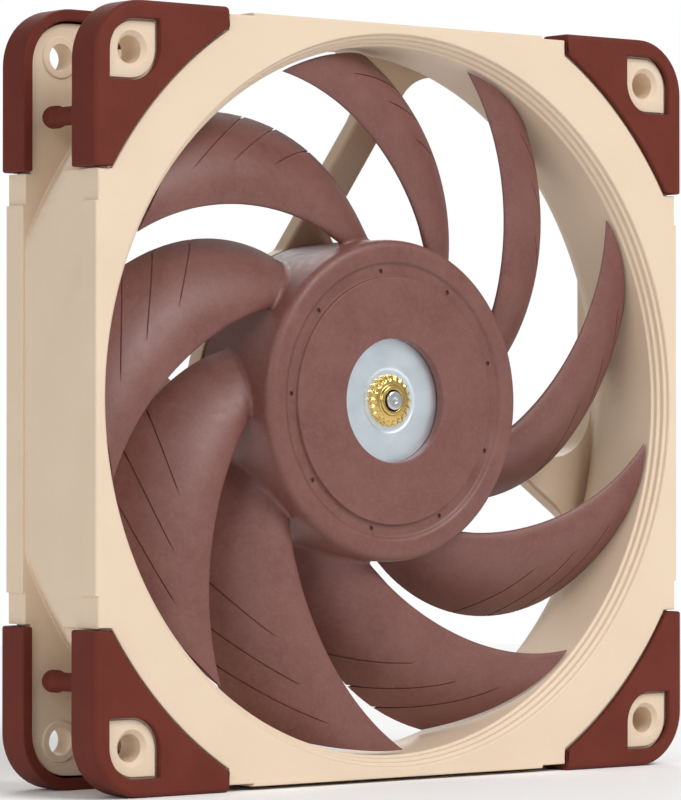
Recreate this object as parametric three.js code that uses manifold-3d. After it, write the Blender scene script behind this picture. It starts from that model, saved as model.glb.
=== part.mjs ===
// 120 mm axial case fan: a square frame with motor struts and corner pads, and a
// nine-bladed impeller turning on a sleeve bearing. Millimetres, +Z up, intake at -Y.
import * as THREE from "three";
import * as BufferGeometryUtils from "three/addons/utils/BufferGeometryUtils.js";
import Module from "manifold-3d";

const wasm = await Module();
wasm.setup();

// ---- driving dimensions ---------------------------------------------------------
const PAD_HALF = 60;          // outer faces of the corner pads, from the axis
const PAD_FACE = 12.5;        // front and rear faces of the pads
const SIDE_HALF = 59.4;       // sides of the bare frame
const STEP_HALF = 58.95;      // sides next to the pads
const SEAT_HALF = 57.9;       // sides under the pads
const FACE = 11.9;            // front and rear faces of the bare frame
const SEAT_FACE = 11;         // flange faces under the pads
const FRONT_FLANGE_BACK = -8.1;
const REAR_FLANGE_FRONT = 7.3;
const STEP_START = 29.6;      // along a side, from its middle
const SEAT_START = 34.4;
const CORNER_RADIUS = 9;      // outer corner of a pad
const HOLE_PITCH = 105;       // mounting holes, centre to centre
const HOLE_RADIUS = 2.15;
const THROAT_RADIUS = 56;     // narrowest part of the duct
const FLARE_START = 3;
const FLARE_RADIUS = 62.8;    // outlet flare at the rear face
const OUTLET_FLAT = 58.5;     // the flare stops at these flat side walls
const RIM_RADIUS = 66.1;      // front rim, inside the pads' curved edge
const GAP = 0.3;              // between pieces that touch
const INLET_STEPS = [[57.7, 0.7], [56.9, 1.9]];   // radius, and depth from the front face
const WALL_FRONT_RADIUS = 70.6;   // duct's outside cone, just in front of the front flange's back
const WALL_REAR_RADIUS = 63.2;    // and just behind the rear flange's front
const BOSS_RADIUS = 4.4;      // collar round a screw hole, on the inner face of a flange
const BOSS_HEIGHT = 0.9;
const SINK = 0.5;             // how far joined shapes run into each other
const BEYOND = 1;             // how far a cutter runs past what it cuts
const BIG_ROUND = 48;         // facets round the duct and the hub
const SMALL_ROUND = 24;

const PAD_SKIRT = 6.2;        // the pad's skirt ends this far from mid-depth
const PAD_ARC = 66.5;
const PAD_END = SEAT_START + GAP;
const LEAF_SIZE = 9.3;        // window in a pad round its mounting hole
const LEAF_RADIUS = 5;
const PEG_INSET = 55.6;
const PEG_ALONG = 43;
const PEG_RADIUS = 1.2;
const PEG_BULB = 1.6;
const PEG_BULB_LENGTH = 3;
const PEG_END = 6.2;

const BLADES = 9;
const TIP_RADIUS = 55.4;
const HUB_RADIUS = 25.5;
const HUB_FACE = -10.2;
const HUB_BACK = 7.6;
const HUB_WINDOW = 9.85;      // round window in the hub's face
const HUB_WALL = 1.6;
const HUB_SHOULDER = 1.2;     // rounding of the hub's front edge
const LEADING_ANGLES = [-54.3, -32.4, -22, -7.1];   // degrees, hub to tip
const LEADING_DEPTHS = [-5.5, -7.2, -8.3, -8.6];
const TRAILING_ANGLES = [-78, -65.3, -52, -34];
const TRAILING_DEPTHS = [2, 1.6, 1.5, 1.9];
const CAMBER = 0.09;          // of the chord
const BLADE_THICK = [2.4, 1.5];   // at the hub and at the tip

const BASE_RADIUS = 25.4;
const BASE_FRONT = 8.5;
const BASE_FLOOR = 9.2;
const BASE_RIM = 23;          // inside the base's front lip
const LABEL_SEAT = 19.6;      // shallow round recess in the base's rear face
const LABEL_DEPTH = 0.8;
const SOCKET = { inner: 4.9, outer: 6.3, front: 6.6 };   // collar that holds the bearing tube
const STRUT_WIDTH = 5.5;
const STRUT_OFFSET = 17.4;    // a strut's centre line passes the axis at this distance
const STRUT_ANGLE = 55;
const CABLE_WIDTH = 3.2;
const CABLE_DEPTH = 2.2;

const SHAFT_RADIUS = 1.5;
const YOKE_RADIUS = 23.6;
const YOKE_FACE = -8.4;
const MAGNET_INNER = 19.9;
const MAGNET_FRONT = -3.4;
const MAGNET_BACK = 6.2;
const STATOR_RADIUS = 18.9;
const YOKE_WALL = 1.2;
const YOKE_BACK = 6.8;
const YOKE_HOLE = 3.9;
const TUBE_RADIUS = 4.6;
const BEARING_RADIUS = 3;
const RUNNING_GAP = 0.08;     // shaft in its sleeve bearing

// ---- materials ------------------------------------------------------------------
function paint(color, roughness, metalness) {
  return new THREE.MeshStandardMaterial({ color, roughness, metalness });
}
const framePlastic = paint(0xe4d0b6, 0.55, 0);
const padRubber = paint(0x7a3a30, 0.7, 0);
const bladePlastic = paint(0x7d524d, 0.45, 0);
const steel = paint(0xc3cfd8, 0.3, 1);
const brass = paint(0xc9a24a, 0.3, 1);
const magnetBlack = paint(0x3a3a3c, 0.7, 0.2);
const copper = paint(0xb0623a, 0.35, 1);
const boardGreen = paint(0x2f5d3a, 0.5, 0);
const chipBlack = paint(0x1f1f21, 0.5, 0);
const bobbinWhite = paint(0xe9e6df, 0.5, 0);
const sintered = paint(0x8a7455, 0.5, 0.8);
const labelFoil = paint(0xb9a489, 0.4, 0.1);

// ---- solids ---------------------------------------------------------------------
function toSolid(geometry) {
  const bare = geometry.clone();
  bare.deleteAttribute("normal");
  bare.deleteAttribute("uv");
  const merged = BufferGeometryUtils.mergeVertices(bare, 1e-4);
  const points = merged.attributes.position.array;
  const corners = merged.index.array;
  const kept = [];
  let volume = 0;
  const a = new THREE.Vector3();
  const b = new THREE.Vector3();
  const c = new THREE.Vector3();
  for (let i = 0; i < corners.length; i += 3) {
    const [p, q, r] = [corners[i], corners[i + 1], corners[i + 2]];
    if (p === q || q === r || r === p) continue;
    kept.push(p, q, r);
    a.fromArray(points, 3 * p);
    b.fromArray(points, 3 * q);
    c.fromArray(points, 3 * r);
    volume += a.dot(b.cross(c));
  }
  if (volume < 0) kept.reverse();
  const mesh = new wasm.Mesh({
    numProp: 3,
    vertProperties: Float32Array.from(points),
    triVerts: Uint32Array.from(kept),
  });
  return new wasm.Manifold(mesh);
}

function toMesh(name, solid, material) {
  const { vertProperties, triVerts } = solid.getMesh();
  const geometry = new THREE.BufferGeometry();
  geometry.setAttribute("position", new THREE.BufferAttribute(vertProperties, 3));
  geometry.setIndex(new THREE.BufferAttribute(triVerts, 1));
  geometry.computeVertexNormals();
  const mesh = new THREE.Mesh(geometry, material);
  mesh.name = name;
  return mesh;
}

// A closed profile of [radius, y] points turned about the fan's axis.
function turned(profile, segments = SMALL_ROUND) {
  const points = [...profile, profile[0]].map(([r, y]) => new THREE.Vector2(r, y));
  return toSolid(new THREE.LatheGeometry(points, segments));
}

function tube(inner, outer, y0, y1, segments = SMALL_ROUND) {
  return turned([[inner, y0], [outer, y0], [outer, y1], [inner, y1]], segments);
}

function disc(radius, y0, y1, segments = SMALL_ROUND) {
  const points = [[0, y0], [radius, y0], [radius, y1], [0, y1]].map(([r, y]) => new THREE.Vector2(r, y));
  return toSolid(new THREE.LatheGeometry(points, segments));
}

// A flat outline in X and Z, as thick as the distance from y0 to y1.
function plate(shape, y0, y1, curveSegments = 6) {
  const geometry = new THREE.ExtrudeGeometry(shape, {
    depth: y1 - y0,
    bevelEnabled: false,
    curveSegments,
  });
  geometry.rotateX(Math.PI / 2);
  geometry.translate(0, y1, 0);
  return toSolid(geometry);
}

function box(x0, x1, y0, y1, z0, z1) {
  const geometry = new THREE.BoxGeometry(x1 - x0, y1 - y0, z1 - z0);
  geometry.translate((x0 + x1) / 2, (y0 + y1) / 2, (z0 + z1) / 2);
  return toSolid(geometry);
}

// A round rod along the fan's axis direction, centred on x and z.
function rod(x, z, radius, y0, y1, segments = 20) {
  const geometry = new THREE.CylinderGeometry(radius, radius, y1 - y0, segments);
  geometry.translate(x, (y0 + y1) / 2, z);
  return toSolid(geometry);
}

// Turned profiles start this close to the axis, and a thin core fills what is left.
const AXIS = 0.01;

function turnAboutAxis(solid, degrees) {
  return solid.rotate([0, degrees, 0]);
}

// Moves a solid in the quadrant of +X, +Z to another corner by reflection.
function toCorner(solid, signX, signY, signZ) {
  return solid.scale([signX, signY, signZ]);
}

function bezier([p0, p1, p2, p3], t) {
  const s = 1 - t;
  return s * s * s * p0 + 3 * s * s * t * p1 + 3 * s * t * t * p2 + t * t * t * p3;
}

const CORNERS = [
  { name: "top_left", x: -1, z: 1 },
  { name: "top_right", x: 1, z: 1 },
  { name: "bottom_left", x: -1, z: -1 },
  { name: "bottom_right", x: 1, z: -1 },
];

// ---- frame ----------------------------------------------------------------------
// Square outline with the pads' seats stepped in at the four corners.
function flangeOutline() {
  const shape = new THREE.Shape();
  const seatRadius = CORNER_RADIUS - (PAD_HALF - SEAT_HALF);
  const centre = SEAT_HALF - seatRadius;
  for (let quarter = 0; quarter < 4; quarter += 1) {
    const turn = (x, z) => {
      const angle = (quarter * Math.PI) / 2;
      return [x * Math.cos(angle) - z * Math.sin(angle), x * Math.sin(angle) + z * Math.cos(angle)];
    };
    const start = turn(SIDE_HALF, STEP_START);
    if (quarter === 0) shape.moveTo(...start);
    else shape.lineTo(...start);
    shape.lineTo(...turn(STEP_HALF, STEP_START));
    shape.lineTo(...turn(STEP_HALF, SEAT_START));
    shape.lineTo(...turn(SEAT_HALF, SEAT_START));
    shape.lineTo(...turn(SEAT_HALF, centre));
    const [cx, cz] = turn(centre, centre);
    const from = (quarter * Math.PI) / 2;
    shape.absarc(cx, cz, seatRadius, from, from + Math.PI / 2, false);
    shape.lineTo(...turn(SEAT_START, SEAT_HALF));
    shape.lineTo(...turn(SEAT_START, STEP_HALF));
    shape.lineTo(...turn(STEP_START, STEP_HALF));
    shape.lineTo(...turn(STEP_START, SIDE_HALF));
  }
  return shape;
}

// Stepped inlet, straight throat, and an outlet that flares out to flat side walls.
function ductBore() {
  const [[lip, lipDepth], [step, stepDepth]] = INLET_STEPS;
  const inlet = [
    [lip, -FACE - BEYOND], [lip, -FACE + lipDepth], [step, -FACE + lipDepth],
    [step, -FACE + stepDepth], [THROAT_RADIUS, -FACE + stepDepth],
  ];
  const front = turned([[AXIS, -FACE - BEYOND], ...inlet, [THROAT_RADIUS, FLARE_START],
    [AXIS, FLARE_START]], BIG_ROUND);
  const flare = [];
  const steps = 3;
  for (let i = 0; i <= steps; i += 1) {
    const t = i / steps;
    const y = FLARE_START + (FACE - FLARE_START) * t;
    flare.push([THROAT_RADIUS + (FLARE_RADIUS - THROAT_RADIUS) * t ** 1.5, y]);
  }
  const last = [FLARE_RADIUS, FACE + BEYOND];
  const rear = turned([[AXIS, FLARE_START - SINK], [THROAT_RADIUS, FLARE_START - SINK],
    ...flare, last, [AXIS, FACE + BEYOND]], BIG_ROUND);
  const flats = box(-OUTLET_FLAT, OUTLET_FLAT, -FACE, FACE + 2 * BEYOND, -OUTLET_FLAT, OUTLET_FLAT);
  const core = disc(SINK, -FACE - 2 * BEYOND, FACE + 2 * BEYOND, 12);
  return front.add(rear.intersect(flats)).add(core);
}

// The duct's outside, a cone between the flanges, trimmed flat at the four sides.
function ductWall() {
  const inner = THROAT_RADIUS - 10 * SINK;
  const front = FRONT_FLANGE_BACK - BEYOND;
  const rear = REAR_FLANGE_FRONT + BEYOND;
  const cone = turned([[inner, front], [WALL_FRONT_RADIUS, front], [WALL_REAR_RADIUS, rear],
    [inner, rear]], BIG_ROUND);
  const side = STEP_HALF - 0.1 * SINK;
  const trim = plate(flangeOutline(), front - BEYOND, rear + BEYOND);
  return cone.intersect(trim).intersect(box(-side, side, -FACE, FACE, -side, side));
}

function holeBosses() {
  const at = HOLE_PITCH / 2;
  const front = rod(at, at, BOSS_RADIUS, FRONT_FLANGE_BACK - SINK, FRONT_FLANGE_BACK + BOSS_HEIGHT, 16);
  const rear = rod(at, at, BOSS_RADIUS, REAR_FLANGE_FRONT - BOSS_HEIGHT, REAR_FLANGE_FRONT + SINK, 16);
  const pair = front.add(rear);
  return CORNERS.map(({ x, z }) => toCorner(pair, x, 1, z)).reduce((all, one) => all.add(one));
}

function flangeHoles() {
  const at = HOLE_PITCH / 2;
  const screw = rod(at, at, HOLE_RADIUS, -FACE - BEYOND, FACE + BEYOND, 16);
  const room = PEG_RADIUS + GAP;
  const frontPeg = rod(PEG_INSET, PEG_ALONG, room, -FACE - BEYOND, 0, 10);
  const rearPeg = rod(PEG_ALONG, PEG_INSET, room, 0, FACE + BEYOND, 10);
  const bulbRoom = rod(PEG_ALONG, PEG_INSET, PEG_BULB + GAP, -PEG_END - GAP, 0, 10);
  const set = screw.add(frontPeg).add(rearPeg).add(bulbRoom);
  return CORNERS.map(({ x, z }) => toCorner(set, x, 1, z)).reduce((all, one) => all.add(one));
}

// One slanted strut from the motor base to the duct wall.
function strut() {
  const half = STRUT_WIDTH / 2;
  const reach = OUTLET_FLAT;
  const bar = box(-half, reach, BASE_FRONT, FACE, STRUT_OFFSET - half, STRUT_OFFSET + half);
  return turnAboutAxis(bar, -STRUT_ANGLE);
}

function strutTurns() {
  return [0, 1, 2, 3].map((i) => i * 90);
}

// Rear groove along the lower strut, opening at the bottom edge of the rear flange.
function cableChannel() {
  const half = CABLE_WIDTH / 2;
  const inner = 16;
  const outer = FLARE_RADIUS + 12;
  const groove = box(inner, outer, FACE - CABLE_DEPTH, FACE + BEYOND,
    STRUT_OFFSET - half, STRUT_OFFSET + half);
  return turnAboutAxis(groove, -STRUT_ANGLE - 180);
}

function motorBase() {
  const seat = FACE - LABEL_DEPTH;
  const dish = turned([[AXIS, BASE_FLOOR], [SOCKET.inner, BASE_FLOOR], [SOCKET.inner, SOCKET.front],
    [SOCKET.outer, SOCKET.front], [SOCKET.outer, BASE_FLOOR], [BASE_RIM, BASE_FLOOR],
    [BASE_RIM, BASE_FRONT], [BASE_RADIUS, BASE_FRONT], [BASE_RADIUS, FACE], [LABEL_SEAT, FACE],
    [LABEL_SEAT, seat], [AXIS, seat]]);
  return dish.add(disc(SINK, BASE_FLOOR, seat, 12));
}

// Where the raised rims stand: a round disc, and square tabs up to the pads' ends.
function rimRoom() {
  const depth = FACE + BEYOND;
  return disc(RIM_RADIUS, -depth, depth, BIG_ROUND)
    .add(box(-SEAT_START, SEAT_START, -depth, depth, -SIDE_HALF, SIDE_HALF))
    .add(box(-SIDE_HALF, SIDE_HALF, -depth, depth, -SEAT_START, SEAT_START));
}

function frameMoulding() {
  const outline = flangeOutline();
  const frontFlange = plate(outline, -SEAT_FACE, FRONT_FLANGE_BACK);
  const rearFlange = plate(outline, REAR_FLANGE_FRONT, SEAT_FACE);
  const rims = plate(outline, -FACE, -SEAT_FACE + 0.1)
    .add(plate(outline, SEAT_FACE - 0.1, FACE))
    .intersect(rimRoom());
  const shell = frontFlange.add(rearFlange).add(rims).add(ductWall()).add(holeBosses());
  const hollow = shell.subtract(ductBore()).subtract(flangeHoles());
  const reach = disc(THROAT_RADIUS + 4.5, BASE_FRONT - BEYOND, FACE + BEYOND, BIG_ROUND);
  const inside = box(-SIDE_HALF, SIDE_HALF, -FACE, FACE, -SIDE_HALF, SIDE_HALF);
  const struts = strutTurns()
    .map((turn) => turnAboutAxis(strut(), turn))
    .reduce((all, one) => all.add(one))
    .intersect(reach)
    .intersect(inside)
    .subtract(disc(BASE_RIM - BEYOND, BASE_FRONT - BEYOND, FACE + BEYOND));
  return hollow.add(struts).add(motorBase()).subtract(cableChannel());
}

// ---- corner pads ----------------------------------------------------------------
function padOutline(half, radius, inner) {
  const shape = new THREE.Shape();
  const centre = half - radius;
  shape.moveTo(half, inner);
  shape.lineTo(half, centre);
  shape.absarc(centre, centre, radius, 0, Math.PI / 2, false);
  shape.lineTo(inner, half);
  shape.lineTo(inner, inner);
  shape.closePath();
  return shape;
}

// Leaf-shaped window: two opposite corners round, two sharp.
function leafOutline() {
  const at = HOLE_PITCH / 2;
  const half = LEAF_SIZE / 2;
  const shape = new THREE.Shape();
  shape.moveTo(at + half, at - half);
  shape.lineTo(at + half, at + half - LEAF_RADIUS);
  shape.absarc(at + half - LEAF_RADIUS, at + half - LEAF_RADIUS, LEAF_RADIUS, 0, Math.PI / 2, false);
  shape.lineTo(at - half, at + half);
  shape.lineTo(at - half, at - half + LEAF_RADIUS);
  const low = at - half + LEAF_RADIUS;
  shape.absarc(low, low, LEAF_RADIUS, Math.PI, Math.PI * 1.5, false);
  shape.closePath();
  return shape;
}

// A front pad for the corner at +X, +Z. The peg stands on its upright arm.
function cornerPad() {
  const wall = PAD_HALF - SEAT_HALF - GAP;
  const block = plate(padOutline(PAD_HALF, CORNER_RADIUS, PAD_END), -PAD_FACE, -PAD_SKIRT);
  const room = plate(padOutline(PAD_HALF - wall, CORNER_RADIUS - wall, PAD_END - 1), -SEAT_FACE - GAP, 0);
  const arc = disc(PAD_ARC, -PAD_FACE - BEYOND, -PAD_SKIRT + BEYOND, BIG_ROUND);
  const leaf = plate(leafOutline(), -PAD_FACE - BEYOND, -SEAT_FACE, 4);
  const shank = rod(PEG_INSET, PEG_ALONG, PEG_RADIUS, -SEAT_FACE - SINK, PEG_END - SINK, 10);
  const bulb = rod(PEG_INSET, PEG_ALONG, PEG_BULB, PEG_END - PEG_BULB_LENGTH, PEG_END, 10);
  return block.subtract(room).subtract(arc).subtract(leaf).add(shank).add(bulb);
}

// The same pad turned over for the rear: its peg stands on the other arm.
function turnOver(pad) {
  return pad.rotate([180, 0, 0]).rotate([0, -90, 0]);
}

// ---- impeller -------------------------------------------------------------------
function halfThickness(u, thick) {
  const bulge = 1.4845 * Math.sqrt(u) - 0.63 * u - 1.758 * u * u + 1.4215 * u ** 3 - 0.5075 * u ** 4;
  return thick * bulge + 0.25 * u;
}

// Closed loop of points where the blade meets the cylinder at this share of its span.
function bladeSection(share, chordSteps) {
  const radius = HUB_RADIUS + (TIP_RADIUS - HUB_RADIUS) * share;
  const t = Math.max(share, 0);
  const lead = THREE.MathUtils.degToRad(bezier(LEADING_ANGLES, t));
  const trail = THREE.MathUtils.degToRad(bezier(TRAILING_ANGLES, t));
  const leadY = bezier(LEADING_DEPTHS, t);
  const trailY = bezier(TRAILING_DEPTHS, t);
  const along = (trail - lead) * radius;
  const deep = trailY - leadY;
  const chord = Math.hypot(along, deep);
  const thick = THREE.MathUtils.lerp(BLADE_THICK[0], BLADE_THICK[1], t);
  const point = (u, side) => {
    const lift = CAMBER * chord * 4 * u * (1 - u) + side * halfThickness(u, thick);
    const arc = lead * radius + along * u - (deep / chord) * lift;
    const y = leadY + deep * u + (along / chord) * lift;
    return [radius * Math.cos(arc / radius), y, radius * Math.sin(arc / radius)];
  };
  const loop = [];
  const alongChord = (i) => 0.5 * (1 - Math.cos((Math.PI * i) / chordSteps));
  for (let i = 0; i <= chordSteps; i += 1) loop.push(point(alongChord(i), 1));
  for (let i = chordSteps; i >= 1; i -= 1) loop.push(point(alongChord(i), -1));
  return loop;
}

function blade() {
  const chordSteps = 6;
  const spanSteps = 6;
  const rootShare = -0.03;
  const loops = [bladeSection(rootShare, chordSteps)];
  for (let i = 0; i <= spanSteps; i += 1) loops.push(bladeSection(i / spanSteps, chordSteps));
  const count = loops[0].length;
  const positions = loops.flat(2);
  const index = [];
  for (let s = 0; s + 1 < loops.length; s += 1) {
    for (let i = 0; i < count; i += 1) {
      const j = (i + 1) % count;
      const [a, b] = [s * count + i, s * count + j];
      const [c, d] = [a + count, b + count];
      index.push(a, b, d, a, d, c);
    }
  }
  const cap = (start, flip) => {
    const add = (p, q, r) => {
      const [second, third] = flip ? [r, q] : [q, r];
      index.push(start + p, start + second, start + third);
    };
    for (let i = 1; i < chordSteps + 1; i += 1) {
      const low = count - i;
      const lowNext = count - i - 1;
      if (i === 1) add(0, low, 1);
      if (lowNext > i) {
        add(i, low, i + 1);
        if (lowNext > i + 1) add(i + 1, low, lowNext);
      }
    }
  };
  cap(0, false);
  cap((loops.length - 1) * count, true);
  const geometry = new THREE.BufferGeometry();
  geometry.setAttribute("position", new THREE.Float32BufferAttribute(positions, 3));
  geometry.setIndex(index);
  return toSolid(geometry);
}

function hubShell() {
  const mid = HUB_SHOULDER * (1 - Math.SQRT1_2);
  const profile = [[HUB_RADIUS, HUB_BACK], [HUB_RADIUS, HUB_FACE + HUB_SHOULDER],
    [HUB_RADIUS - mid, HUB_FACE + mid], [HUB_RADIUS - HUB_SHOULDER, HUB_FACE],
    [HUB_WINDOW, HUB_FACE], [HUB_WINDOW, YOKE_FACE - GAP],
    [HUB_RADIUS - HUB_WALL, YOKE_FACE - GAP], [HUB_RADIUS - HUB_WALL, HUB_BACK]];
  return turned(profile, BIG_ROUND);
}

function impeller() {
  const one = blade();
  let whole = hubShell();
  for (let i = 0; i < BLADES; i += 1) {
    whole = whole.add(turnAboutAxis(one, (i * 360) / BLADES));
  }
  const core = tube(HUB_WINDOW, HUB_RADIUS - HUB_WALL, YOKE_FACE - GAP, HUB_BACK + BEYOND, BIG_ROUND);
  return whole.subtract(core);
}

// ---- rotor parts ----------------------------------------------------------------
function rotorYoke() {
  const inside = YOKE_RADIUS - YOKE_WALL;
  const floor = YOKE_FACE + YOKE_WALL;
  return turned([[YOKE_HOLE, YOKE_FACE], [YOKE_RADIUS, YOKE_FACE], [YOKE_RADIUS, YOKE_BACK],
    [inside, YOKE_BACK], [inside, floor], [YOKE_HOLE, floor]]);
}

// Stepped brass boss riveted into the yoke's hole, with a collar on each side of it.
function shaftBoss() {
  const bore = SHAFT_RADIUS + GAP;
  return turned([[bore, -9.7], [2.5, -9.7], [2.5, -9.3], [3.3, -9.3], [3.3, -9], [4.1, -9],
    [4.1, YOKE_FACE - GAP], [3.5, YOKE_FACE - GAP], [3.5, YOKE_FACE + 1.5],
    [4.3, YOKE_FACE + 1.5], [4.3, YOKE_FACE + 2.7], [bore, YOKE_FACE + 2.7]]);
}

// ---- stator parts ---------------------------------------------------------------
const POLES = 4;
const CORE_BOTTOM = 4;
const CORE_TOP = -2.5;
const ARM_WIDTH = 5;
const SHOE_HALF_ANGLE = 37;

function poleShoe(y0, y1) {
  const half = THREE.MathUtils.degToRad(SHOE_HALF_ANGLE);
  const shape = new THREE.Shape();
  shape.absarc(0, 0, STATOR_RADIUS, -half, half, false);
  shape.absarc(0, 0, STATOR_RADIUS - 1.8, half, -half, true);
  shape.closePath();
  return plate(shape, y0, y1, 6);
}

function fourArms(y0, y1, width, reach) {
  const arm = box(5.6, reach, y0, y1, -width / 2, width / 2);
  let all = tube(TUBE_RADIUS + GAP, 7.6, y0, y1);
  for (let i = 0; i < POLES; i += 1) all = all.add(turnAboutAxis(arm, i * 90));
  return all.subtract(disc(TUBE_RADIUS + GAP, y0 - 1, y1 + 1));
}

function statorCore() {
  let core = fourArms(CORE_TOP, CORE_BOTTOM, ARM_WIDTH, STATOR_RADIUS - 1);
  for (let i = 0; i < POLES; i += 1) {
    core = core.add(turnAboutAxis(poleShoe(CORE_TOP, CORE_BOTTOM), i * 90));
  }
  return core;
}

function insulator(y0, y1) {
  return fourArms(y0, y1, ARM_WIDTH, STATOR_RADIUS - 2);
}

function coil(turn) {
  const outer = box(8.6, 15.8, CORE_TOP - 2.6, CORE_BOTTOM + 2.2, -5.4, 5.4);
  const inner = box(8, 17, CORE_TOP - 1.3, CORE_BOTTOM + 1.3, -ARM_WIDTH / 2 - GAP, ARM_WIDTH / 2 + GAP);
  return turnAboutAxis(outer.subtract(inner), turn);
}

const BOARD_FRONT = 7.4;
const BOARD_BACK = 8.4;

function onBoard(alongRadius, wide, long, tall, turn) {
  const chip = box(alongRadius - long / 2, alongRadius + long / 2,
    BOARD_FRONT - GAP - tall, BOARD_FRONT - GAP, -wide / 2, wide / 2);
  return turnAboutAxis(chip, turn);
}

// ---- assembly -------------------------------------------------------------------
const fan = new THREE.Group();
const stationary = new THREE.Group();
const rotor = new THREE.Group();
fan.add(stationary, rotor);

stationary.add(toMesh("frame_moulding", frameMoulding(), framePlastic));
const pad = cornerPad();
for (const { name, x, z } of CORNERS) {
  stationary.add(toMesh(`front_pad_${name}`, toCorner(pad, x, 1, z), padRubber));
  stationary.add(toMesh(`rear_pad_${name}`, toCorner(turnOver(pad), x, 1, z), padRubber));
}
stationary.add(toMesh("rear_label", disc(19.2, FACE - 0.5, FACE - 0.1), labelFoil));
const bearingTube = tube(BEARING_RADIUS + GAP, TUBE_RADIUS, -5.2, BASE_FLOOR - GAP);
stationary.add(toMesh("bearing_tube", bearingTube, brass));
const sleeveBearing = tube(SHAFT_RADIUS + RUNNING_GAP, BEARING_RADIUS, -4.8, 7.4);
stationary.add(toMesh("sleeve_bearing", sleeveBearing, sintered));
stationary.add(toMesh("thrust_disc", disc(BEARING_RADIUS - 0.1, 8.3, BASE_FLOOR - GAP), bobbinWhite));
stationary.add(toMesh("retaining_washer", tube(SHAFT_RADIUS + GAP, BEARING_RADIUS, 7.7, 8), bobbinWhite));
stationary.add(toMesh("stator_core", statorCore(), steel));
stationary.add(toMesh("front_insulator", insulator(CORE_TOP - 1, CORE_TOP - GAP), bobbinWhite));
stationary.add(toMesh("rear_insulator", insulator(CORE_BOTTOM + GAP, CORE_BOTTOM + 1), bobbinWhite));
for (let i = 0; i < POLES; i += 1) {
  stationary.add(toMesh(`coil_${i + 1}`, coil(i * 90), copper));
}
stationary.add(toMesh("circuit_board", tube(6.7, 20.5, BOARD_FRONT, BOARD_BACK), boardGreen));
stationary.add(toMesh("driver_chip", onBoard(15, 5, 5.4, 1.4, 45), chipBlack));
stationary.add(toMesh("hall_sensor", onBoard(17.8, 2.8, 1.6, 1.2, 135), chipBlack));
stationary.add(toMesh("capacitor", onBoard(15.4, 3.2, 2.4, 1.4, 225), bobbinWhite));

rotor.add(toMesh("impeller", impeller(), bladePlastic));
rotor.add(toMesh("rotor_yoke", rotorYoke(), steel));
const magnetRing = tube(MAGNET_INNER, YOKE_RADIUS - YOKE_WALL - GAP, MAGNET_FRONT, MAGNET_BACK);
rotor.add(toMesh("magnet_ring", magnetRing, magnetBlack));
rotor.add(toMesh("shaft_boss", shaftBoss(), brass));
rotor.add(toMesh("shaft", disc(SHAFT_RADIUS, -10.1, 8), steel));

export default fan;
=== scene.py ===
import math

import bmesh
import bpy
from mathutils import Matrix, Vector


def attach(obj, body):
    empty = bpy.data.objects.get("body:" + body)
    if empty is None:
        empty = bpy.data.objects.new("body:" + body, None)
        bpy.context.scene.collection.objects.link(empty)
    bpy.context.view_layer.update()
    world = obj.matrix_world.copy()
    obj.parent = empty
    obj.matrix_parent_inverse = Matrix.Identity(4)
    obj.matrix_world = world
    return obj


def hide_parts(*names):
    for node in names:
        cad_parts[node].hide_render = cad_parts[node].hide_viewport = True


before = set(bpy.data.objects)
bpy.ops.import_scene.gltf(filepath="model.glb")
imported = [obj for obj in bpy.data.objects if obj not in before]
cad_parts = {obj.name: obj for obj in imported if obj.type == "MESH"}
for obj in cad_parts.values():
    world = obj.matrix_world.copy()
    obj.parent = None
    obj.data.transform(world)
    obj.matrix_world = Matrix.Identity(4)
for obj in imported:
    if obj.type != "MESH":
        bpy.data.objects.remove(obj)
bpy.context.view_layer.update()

# A 120 mm case fan. Lengths below are in millimetres and turn into metres in mesh_object().
MM = 0.001

# ---- driving dimensions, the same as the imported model's ----------------------------
PAD_HALF = 60.0
PAD_FACE = 12.5
SIDE_HALF = 59.4
STEP_HALF = 58.95
SEAT_HALF = 57.9
FACE = 11.9
SEAT_FACE = 11.0
FLANGE_FRONT = -8.1      # back of the front flange
FLANGE_REAR = 7.3        # front of the rear flange
STEP_START = 29.6
SEAT_START = 34.4
CORNER_RADIUS = 9.0
HOLE_AT = 52.5
HOLE_RADIUS = 2.15
THROAT = 56.0
FLARE_START = 3.0
FLARE_RADIUS = 62.8
OUTLET_FLAT = 58.5
RIM = 66.1
WALL_CONE = 66.9         # the duct's outside at mid depth
WALL_SLOPE = 0.48
WALL_FLAT = 58.85        # the duct's flat sides
GAP = 0.3

PAD_SKIRT = 6.2
PAD_ARC = 66.5
PAD_END = SEAT_START + GAP
LEAF_SIZE = 9.3
LEAF_RADIUS = 5.0
PEG_INSET = 55.6
PEG_ALONG = 43.0
PEG_END = 6.2

BLADES = 9
TIP_RADIUS = 55.4
HUB_RADIUS = 25.5
HUB_FACE = -10.2
HUB_BACK = 7.6
HUB_WINDOW = 9.85
LEADING_ANGLES = (-54.3, -32.4, -22.0, -7.1)
LEADING_DEPTHS = (-5.5, -7.2, -8.3, -8.6)
TRAILING_ANGLES = (-78.0, -65.3, -52.0, -34.0)
TRAILING_DEPTHS = (2.0, 1.6, 1.5, 1.9)
CAMBER = 0.09
BLADE_THICK = (2.4, 1.5)

BASE_RADIUS = 25.4
BASE_FRONT = 8.5
BASE_RIM = 23.0
BASE_INSIDE = 9.2
SOCKET_INNER = 4.9
SOCKET_OUTER = 6.3
SOCKET_FRONT = 6.6
STRUT_WIDTH = 5.5
STRUT_OFFSET = 17.4
STRUT_ANGLE = 55.0
YOKE_FACE = -8.4
YOKE_RADIUS = 23.6
YOKE_HOLE = 3.9
YOKE_BACK = 6.8
YOKE_WALL = 1.2
SHAFT_RADIUS = 1.5

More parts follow.
